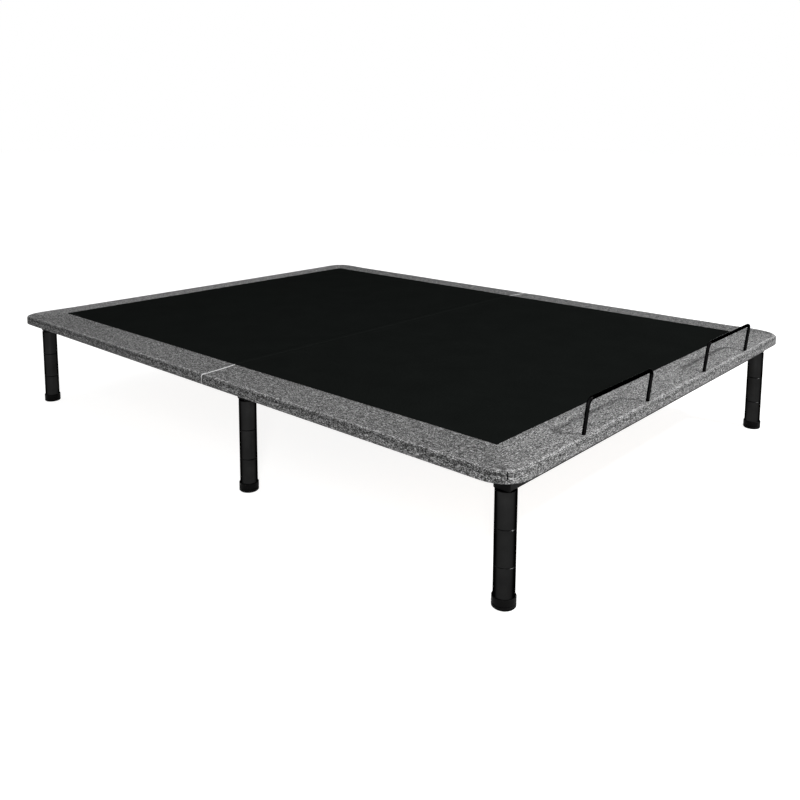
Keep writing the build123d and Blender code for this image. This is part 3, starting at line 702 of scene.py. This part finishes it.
def corner_distance(panel, along, y):
    """Distance of a point from the mitre line of its end corner."""
    return abs((panel.length - along) - (half_width - abs(y))) / math.sqrt(2)


retainer_spots = []
for side in ("right", "left"):
    low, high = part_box(f"{side}_retainer_bar")
    spot_x = low.x + bar_radius
    retainer_spots += [(spot_x, low.y + bar_radius), (spot_x, high.y - bar_radius)]


def ripple_sink(along, point):
    """How far the cloth lies in from its drawn surface, by slow ripples."""
    fade = smooth_step((along - bridge_half) / ripple_fade) * smooth_step((point.z - underside) / ripple_foot)
    return fade * ripple_height * (0.5 + 0.5 * noise.noise(point * ripple_scale))


def soften(bm, panel):
    """Sew in the corner seams, ripple the cloth a little and dimple it round the bars."""
    bm.normal_update()
    moves = []
    for vert in bm.verts:
        along = (vert.co.x - panel.split_x) * panel.outward
        corner_inset = max(panel.length - along, half_width - abs(vert.co.y))
        sink = ripple_sink(along, vert.co)
        if corner_inset < field_inset + seam_margin and vert.co.z > band_foot:
            sink += seam_depth * math.exp(-((corner_distance(panel, along, vert.co.y) / seam_width) ** 2))
        for spot_x, spot_y in retainer_spots:
            away = math.hypot(vert.co.x - spot_x, vert.co.y - spot_y)
            if vert.co.z > hinge_z and away < dimple_end:
                sink += dimple_depth * math.exp(-((away / dimple_reach) ** 2))
        moves.append(vert.normal * -sink)
    for vert, move in zip(bm.verts, moves):
        vert.co += move


def outward_normals(bm, centre):
    """Turn the faces so that most of them look away from a point."""
    facing = sum(
        (face.calc_center_median() - centre).dot(face.normal) * face.calc_area() for face in bm.faces
    )
    if facing < 0:
        bmesh.ops.reverse_faces(bm, faces=bm.faces[:])


def cover_mesh(panel):
    """Grey cover: turned under the board, up the side band, over the rolled edge and in to the field."""
    bm = bmesh.new()
    uv = bm.loops.layers.uv.new("cloth")
    plans = []
    rows = []
    for inset, z in cover_section:
        row = []
        plan_row = []
        for column in panel.columns:
            along, _ = panel.plan(column, inset)
            inner, height = tongue(along, inset, z)
            along, y = panel.plan(column, inner)
            plan_row.append((along, y))
            row.append(panel.world(along, y, height))
        rows.append(row)
        plans.append(plan_row)
    mitre = math.radians(mitre_angle)

    def cloth_at(row, column, face_column):
        kind, at = panel.columns[face_column]
        on_turn = (kind == "turn" and at < mitre) or (kind == "other_turn" and at >= mitre)
        along, y = plans[row][column]
        if on_turn or kind in ("side", "other_side"):
            return along, cloth_lengths[row]
        return y + end_offset, cloth_lengths[row]

    grid_faces(bm, uv, rows, cloth_at)
    bmesh.ops.remove_doubles(bm, verts=bm.verts[:], dist=tolerance)
    bmesh.ops.recalc_face_normals(bm, faces=bm.faces[:])
    outward_normals(bm, panel.world(panel.length / 2, 0.0, (deck_top + underside) / 2))
    soften(bm, panel)
    return mesh_from(f"{panel.name}_cover", bm)


# Rolled edge of the field: steps in from its outline, and heights over its top
field_hem = [
    (-0.0012, -0.0010), (-0.0016, -0.0002), (-0.0011, 0.0006),
    (0.0004, 0.0008), (0.0030, 0.0002), (0.0060, 0.0),
]


def field_mesh(panel):
    """Black field: hemmed edge on three sides, flat top, and a nose turned down at the split."""
    bm = bmesh.new()
    uv = bm.loops.layers.uv.new("cloth")
    rows = []
    for step, rise in field_hem:
        inset = field_inset + step
        row = []
        for column in panel.columns:
            along, y = panel.plan(column, inset)
            row.append((along, y, field_top + rise))
        rows.append(row)
    inner = field_inset + field_hem[-1][0]
    far = panel.length - inner - least_corner
    wide = half_width - inner
    stops = sorted({round(min(stop, far), 6) for stop in panel.side_stops})
    widths = sorted({round(clamp(y, least_corner - wide, wide - least_corner), 6) for y in panel.field_stops})
    edges = [-wide] + widths + [wide]
    top = [[(along, y, field_top) for y in edges] for along in stops + [far + least_corner]]
    split_drop = [
        (0.0, tongue_nose), (0.0, hinge_z - nose_step), (0.0, band_foot),
        (nose_bend, underside + nose_bend), (under_roll, underside),
        (under_middle, underside), (turn_under, underside),
    ]
    nose = [[(along, y, z) for y in edges] for along, z in split_drop]

    def placed(along, y, z):
        return panel.world(along, y, lowered(along, z) if under_strip(along, z) else z)

    for block in (rows, top, nose):
        points = [[placed(along, y, z) for along, y, z in row] for row in block]
        cloth = [[(along + field_top - z, y) for along, y, z in row] for row in block]
        grid_faces(bm, uv, points, lambda row, column, _: cloth[row][column])
    bmesh.ops.remove_doubles(bm, verts=bm.verts[:], dist=field_weld)
    bmesh.ops.recalc_face_normals(bm, faces=bm.faces[:])
    outward_normals(bm, panel.world(panel.length / 2, 0.0, 0.0))
    return mesh_from(f"{panel.name}_field_cloth", bm)


def held_points(panel, mesh):
    """Vertices of a cover that are stapled, sewn or clamped: turn-under, field, split, mitres and bars."""
    held = []
    for vert in mesh.vertices:
        along = (vert.co.x - panel.split_x) * panel.outward
        side_inset = half_width - abs(vert.co.y)
        end_inset = panel.length - along
        stapled = vert.co.z < band_foot
        sewn = min(side_inset, end_inset) > field_inset - hold_margin
        in_corner = max(side_inset, end_inset) < field_inset
        on_mitre = in_corner and corner_distance(panel, along, vert.co.y) < mitre_hold
        by_bar = any(math.hypot(vert.co.x - x, vert.co.y - y) < bar_hold for x, y in retainer_spots)
        if stapled or sewn or on_mitre or by_bar or along < bridge_reach + hold_margin:
            held.append(vert.index)
    return held


def settle_cover(piece, held):
    """Let the cover swell over its foam between the places where it is held."""
    rest = [vert.co.copy() for vert in piece.data.vertices]
    piece.vertex_groups.new(name="held").add(held, 1.0, "REPLACE")
    cloth = piece.modifiers.new("settle", "CLOTH")
    cloth.settings.quality = swell_quality
    cloth.settings.mass = cloth_mass
    cloth.settings.tension_stiffness = cloth_stiffness
    cloth.settings.compression_stiffness = cloth_stiffness
    cloth.settings.bending_stiffness = cloth_bending
    cloth.settings.use_pressure = True
    cloth.settings.uniform_pressure_force = swell_pressure
    cloth.settings.vertex_group_mass = "held"
    cloth.settings.effector_weights.gravity = 0.0
    cloth.collision_settings.use_collision = False
    scene = bpy.context.scene
    for step in range(1, swell_steps + 1):
        scene.frame_set(step)
    settled = piece.evaluated_get(bpy.context.evaluated_depsgraph_get()).data
    moves = [vert.co - start for vert, start in zip(settled.vertices, rest)]
    piece.modifiers.remove(cloth)
    piece.vertex_groups.clear()
    for vert, start, move in zip(piece.data.vertices, rest, moves):
        vert.co = start + move * min(1.0, swell_limit / max(move.length, 1e-9))
    piece.data.update()
    scene.frame_set(1)


head_panel = Panel("head", head_high.x, head_low.x, head_corner)
foot_panel = Panel("foot", foot_low.x, foot_high.x, foot_corner)
for panel, body in ((head_panel, "head"), (foot_panel, "base")):
    cover = new_piece(f"{panel.name}_cover", cover_mesh(panel), heather, body)
    settle_cover(cover, held_points(panel, cover.data))
    thicken(cover, cover_thickness)
    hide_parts(f"{panel.name}_pad")
    field = new_piece(f"{panel.name}_field_cloth", field_mesh(panel), anti_slip, body)
    thicken(field, field_thickness)
    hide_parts(f"{panel.name}_field")


# Soft strips across the split
def crease(along, depth):
    """Depth of the sewn crease at a distance from the split's middle."""
    return depth * math.exp(-((along / crease_width) ** 2))


def section_normals(section):
    """Outward direction at each point of a section, as (inset, height)."""
    normals = []
    for i in range(len(section)):
        d0, z0 = section[max(i - 1, 0)]
        d1, z1 = section[min(i + 1, len(section) - 1)]
        length = math.hypot(d1 - d0, z1 - z0)
        normals.append((-(z1 - z0) / length, (d1 - d0) / length))
    return normals


bridge_stops = spread(-bridge_half, bridge_half, 2 * bridge_half / bridge_steps)
bridge_stops = sorted(bridge_stops + crease_stops + [-stop for stop in crease_stops])
bridge_start = len(under_section) + len(band_section)
bridge_section = cover_section[bridge_start:]
bridge_normals = section_normals(bridge_section)


def border_bridge_mesh(name, sign):
    """Border cloth that carries on over the split, with its crease."""
    bm = bmesh.new()
    uv = bm.loops.layers.uv.new("cloth")
    rows = []
    for (inset, z), (out_inset, out_z) in zip(bridge_section, bridge_normals):
        row = []
        for stop in bridge_stops:
            dip = crease(stop, crease_depth)
            y = half_width - inset + out_inset * dip
            row.append(Vector((hinge_x + stop, sign * y, z - out_z * dip)))
        rows.append(row)
    grid_faces(bm, uv, rows, lambda row, column, _: (bridge_stops[column], cloth_lengths[bridge_start + row]))
    bmesh.ops.recalc_face_normals(bm, faces=bm.faces[:])
    outward_normals(bm, Vector((hinge_x, sign * (half_width - field_inset / 2), underside)))
    return mesh_from(name, bm)


def field_bridge_mesh(name):
    """Field cloth that carries on over the split, with its hems and a faint crease."""
    bm = bmesh.new()
    uv = bm.loops.layers.uv.new("cloth")
    hem = [(half_width - field_inset - step, rise) for step, rise in field_hem]
    wide = hem[-1][0]
    middle = [(y, 0.0) for y in spread(-wide, wide, column_step)[1:-1]]
    edges = [(-y, rise) for y, rise in hem] + middle + list(reversed(hem))
    rows = [
        [
            Vector((hinge_x + stop, y, field_top + rise + bridge_lift - crease(stop, field_crease_depth)))
            for y, rise in edges
        ]
        for stop in bridge_stops
    ]
    grid_faces(bm, uv, rows, lambda row, column, _: (bridge_stops[row], edges[column][0]))
    bmesh.ops.recalc_face_normals(bm, faces=bm.faces[:])
    outward_normals(bm, Vector((hinge_x, 0.0, underside)))
    return mesh_from(name, bm)


def bend_at_split(piece):
    """Bake a strip's placement into its mesh."""
    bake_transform(piece)


def top_painted_gap_welt_mesh(name, sign):
    """Welt cord sewn into the crease of the border; its pale colour is painted light, standing in for the bright
    line where white shows through the split.
    """
    bm = bmesh.new()
    points = []
    for (inset, z), (out_inset, out_z) in zip(bridge_section[:-1], bridge_normals):
        y = half_width - inset + out_inset * welt_radius
        points.append(Vector((hinge_x, sign * y, z - out_z * welt_sink)))
    tube_mesh(bm, points, welt_radius)
    return mesh_from(name, bm)


def band_painted_gap_welt_mesh(name, sign):
    """Welt cord down the foot panel's edge of the split; its pale colour is painted light, standing in for the
    bright line where white shows through the gap.
    """
    bm = bmesh.new()
    x = foot_low.x - welt_radius
    y = sign * (half_width - welt_radius)
    points = [Vector((x, y, z)) for z in spread(band_foot, hinge_z - welt_gap, welt_step)]
    tube_mesh(bm, points, welt_radius)
    return mesh_from(name, bm)


for side, sign in (("right", -1), ("left", 1)):
    name = f"{side}_border_bridge"
    bridge = new_piece(name, border_bridge_mesh(name, sign), heather, None)
    thicken(bridge, cover_thickness)
    bend_at_split(bridge)
    name = f"{side}_top_painted_gap_welt"
    bend_at_split(new_piece(name, top_painted_gap_welt_mesh(name, sign), painted_gap_light_cord, None))
    name = f"{side}_band_painted_gap_welt"
    new_piece(name, band_painted_gap_welt_mesh(name, sign), painted_gap_light_cord, "base")

field_bridge = new_piece("field_bridge", field_bridge_mesh("field_bridge"), anti_slip, None)
thicken(field_bridge, field_thickness)
bend_at_split(field_bridge)


# Corner stitches and the staples of the turned-under cover
def roll_inset(z):
    """How far the rolled edge lies in from the side band at a height."""
    rise = max(0.0, z - (deck_top - edge_round))
    return edge_round - math.sqrt(edge_round**2 - rise**2)


def stitch_mesh(panel):
    """Dark stitches up the seams of the side band at both end corners."""
    bm = bmesh.new()
    mitre = ("turn", math.radians(mitre_angle))
    for sign in (-1, 1):
        inward = Vector((-panel.outward, -sign, 0.0)).normalized()
        for i in range(stitches_per_seam):
            points = []
            for share, dip in ((0.0, 1.0), (stitch_bend, 0.0), (1 - stitch_bend, 0.0), (1.0, 1.0)):
                z = underside + stitch_start + i * stitch_pitch + share * stitch_length
                along, y = panel.plan(mitre, roll_inset(z))
                surface = panel.world(along, sign * abs(y), z)
                sink = seam_depth + ripple_sink(panel.length, surface)
                points.append(surface + inward * (sink + stitch_radius * (dip - stitch_proud)))
            tube_mesh(bm, points, stitch_radius)
    return mesh_from(f"{panel.name}_corner_stitches", bm)


def staple_mesh(panel):
    """Wire staples that hold the turned-under cover to the board."""
    bm = bmesh.new()
    places = []
    far = panel.length - panel.corner - staple_corner_gap
    wide = half_width - panel.corner - staple_corner_gap
    for along in spread(staple_split_gap, far, staple_pitch):
        places += [(along, sign * (half_width - staple_inset), (1.0, 0.0)) for sign in (-1, 1)]
    places += [(panel.length - staple_inset, y, (0.0, 1.0)) for y in spread(-wide, wide, staple_pitch)]
    for along, y, (step_along, step_y) in places:
        points = []
        for offset, rise in ((-1, staple_leg), (-1, 0.0), (1, 0.0), (1, staple_leg)):
            reach = offset * staple_width / 2
            z = underside - staple_crown + rise
            points.append(panel.world(along + step_along * reach, y + step_y * reach, z))
        tube_mesh(bm, points, staple_wire, sides=6)
    return mesh_from(f"{panel.name}_staples", bm)


for panel, body in ((head_panel, "head"), (foot_panel, "base")):
    new_piece(f"{panel.name}_corner_stitches", stitch_mesh(panel), dark_thread, body)
    new_piece(f"{panel.name}_staples", staple_mesh(panel), staple_steel, body)


# Floor, light and camera
def light_path_white(tree):
    """1 for rays that show the background: from the camera, or by gloss or glass."""
    path = add(tree, "ShaderNodeLightPath")
    shown = math_node(tree, "MAXIMUM", path.outputs["Is Camera Ray"], path.outputs["Is Glossy Ray"])
    return math_node(tree, "MAXIMUM", shown, path.outputs["Is Transmission Ray"])


def pale_floor():
    """White studio floor that keeps a soft shadow."""
    mesh = bpy.data.meshes.new("studio_floor")
    corners = [(x * floor_reach, y * floor_reach, 0.0) for x, y in ((-1, -1), (1, -1), (1, 1), (-1, 1))]
    mesh.from_pydata(corners, [], [(0, 1, 2, 3)])
    material = bpy.data.materials.new("studio_floor")
    material.use_nodes = True
    tree = material.node_tree
    tree.nodes.clear()
    diffuse = add(tree, "ShaderNodeBsdfDiffuse", {"Color": grey(floor_shade)})
    glow = add(tree, "ShaderNodeEmission", {"Color": grey(1.0), "Strength": floor_glow})
    both = add(tree, "ShaderNodeAddShader", {0: diffuse.outputs[0], 1: glow.outputs[0]})
    plain = add(tree, "ShaderNodeBsdfDiffuse", {"Color": grey(floor_bounce)})
    mix = add(
        tree, "ShaderNodeMixShader", {0: light_path_white(tree), 1: plain.outputs[0], 2: both.outputs[0]}
    )
    output = add(tree, "ShaderNodeOutputMaterial")
    tree.links.new(mix.outputs[0], output.inputs["Surface"])
    mesh.materials.append(material)
    floor = bpy.data.objects.new("studio_floor", mesh)
    bpy.context.collection.objects.link(floor)


def white_world():
    """Even studio light from all round; plain white where it is seen."""
    world = bpy.data.worlds.new("studio_world")
    world.use_nodes = True
    bpy.context.scene.world = world
    tree = world.node_tree
    tree.nodes.clear()
    level = between(tree, light_path_white(tree), world_light, 1.0)
    background = add(tree, "ShaderNodeBackground", {"Color": grey(1.0), "Strength": level})
    output = add(tree, "ShaderNodeOutputWorld")
    tree.links.new(background.outputs[0], output.inputs["Surface"])


def softbox(name, place, width, height, power):
    """Area light aimed at the bed."""
    data = bpy.data.lights.new(name, "AREA")
    data.shape = "RECTANGLE"
    data.size = width
    data.size_y = height
    data.energy = power
    lamp = bpy.data.objects.new(name, data)
    lamp.visible_camera = False
    lamp.location = place
    lamp.rotation_euler = (Vector(lamp_target) - Vector(place)).to_track_quat("-Z", "Y").to_euler()
    bpy.context.collection.objects.link(lamp)


def photo_camera():
    """Camera at the photograph's place, with its low frame as a vertical shift."""
    turn = (
        Matrix.Rotation(math.radians(camera_heading - 90.0), 4, "Z")
        @ Matrix.Rotation(math.radians(90.0 + camera_pitch), 4, "X")
        @ Matrix.Rotation(math.radians(camera_roll), 4, "Z")
    )
    data = bpy.data.cameras.new("photo_camera")
    data.sensor_width = camera_sensor
    data.lens = camera_lens
    data.shift_y = camera_shift
    camera = bpy.data.objects.new("photo_camera", data)
    camera.matrix_world = Matrix.Translation(camera_place) @ turn
    bpy.context.collection.objects.link(camera)
    bpy.context.scene.camera = camera


pale_floor()
white_world()
for name, (place, width, height, power) in lamps.items():
    softbox(name, place, width, height, power)
photo_camera()
bpy.context.scene.view_settings.view_transform = "Standard"
